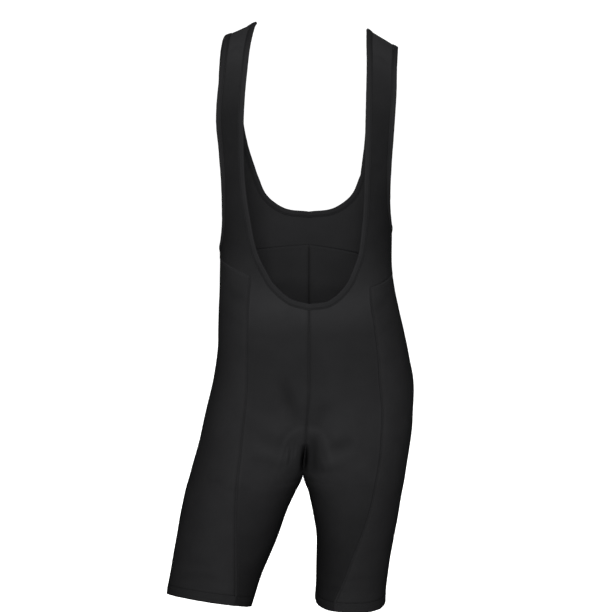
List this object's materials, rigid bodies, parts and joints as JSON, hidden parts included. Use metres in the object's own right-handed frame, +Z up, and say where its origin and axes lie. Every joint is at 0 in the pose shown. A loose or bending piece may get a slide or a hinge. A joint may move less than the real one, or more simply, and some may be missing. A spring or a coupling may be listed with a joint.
{
  "type": "cycling bib shorts",
  "caption": "Close-fitting cycling bib shorts in their worn form: deep scooped front, shoulder straps, curved leg seams, bound edges, turned hems and a seat pad.",
  "frame": {"origin": "midway between the tops of the two shoulder straps, where the wearer's shoulders hold the garment up", "axes": "+Z up, the front faces -Y, the wearer's right is -X"},
  "size_m": [0.3872, 0.2362, 0.9255],
  "materials": {
    "black_knit": "matte stretch knit",
    "black_binding": "matte folded stretch tape",
    "pad_cloth": "brushed cloth over foam"
  },
  "bodies": {
    "root": {"front_panel_right": "black_knit", "front_panel_left": "black_knit", "side_panel_right": "black_knit", "side_panel_left": "black_knit", "back_panel_right": "black_knit", "back_panel_left": "black_knit", "back_bib": "black_knit", "hem_band_right": "black_knit", "hem_band_left": "black_knit", "neck_binding": "black_binding", "armhole_binding_right": "black_binding", "armhole_binding_left": "black_binding", "seat_pad": "pad_cloth"}
  },
  "joints": []
}
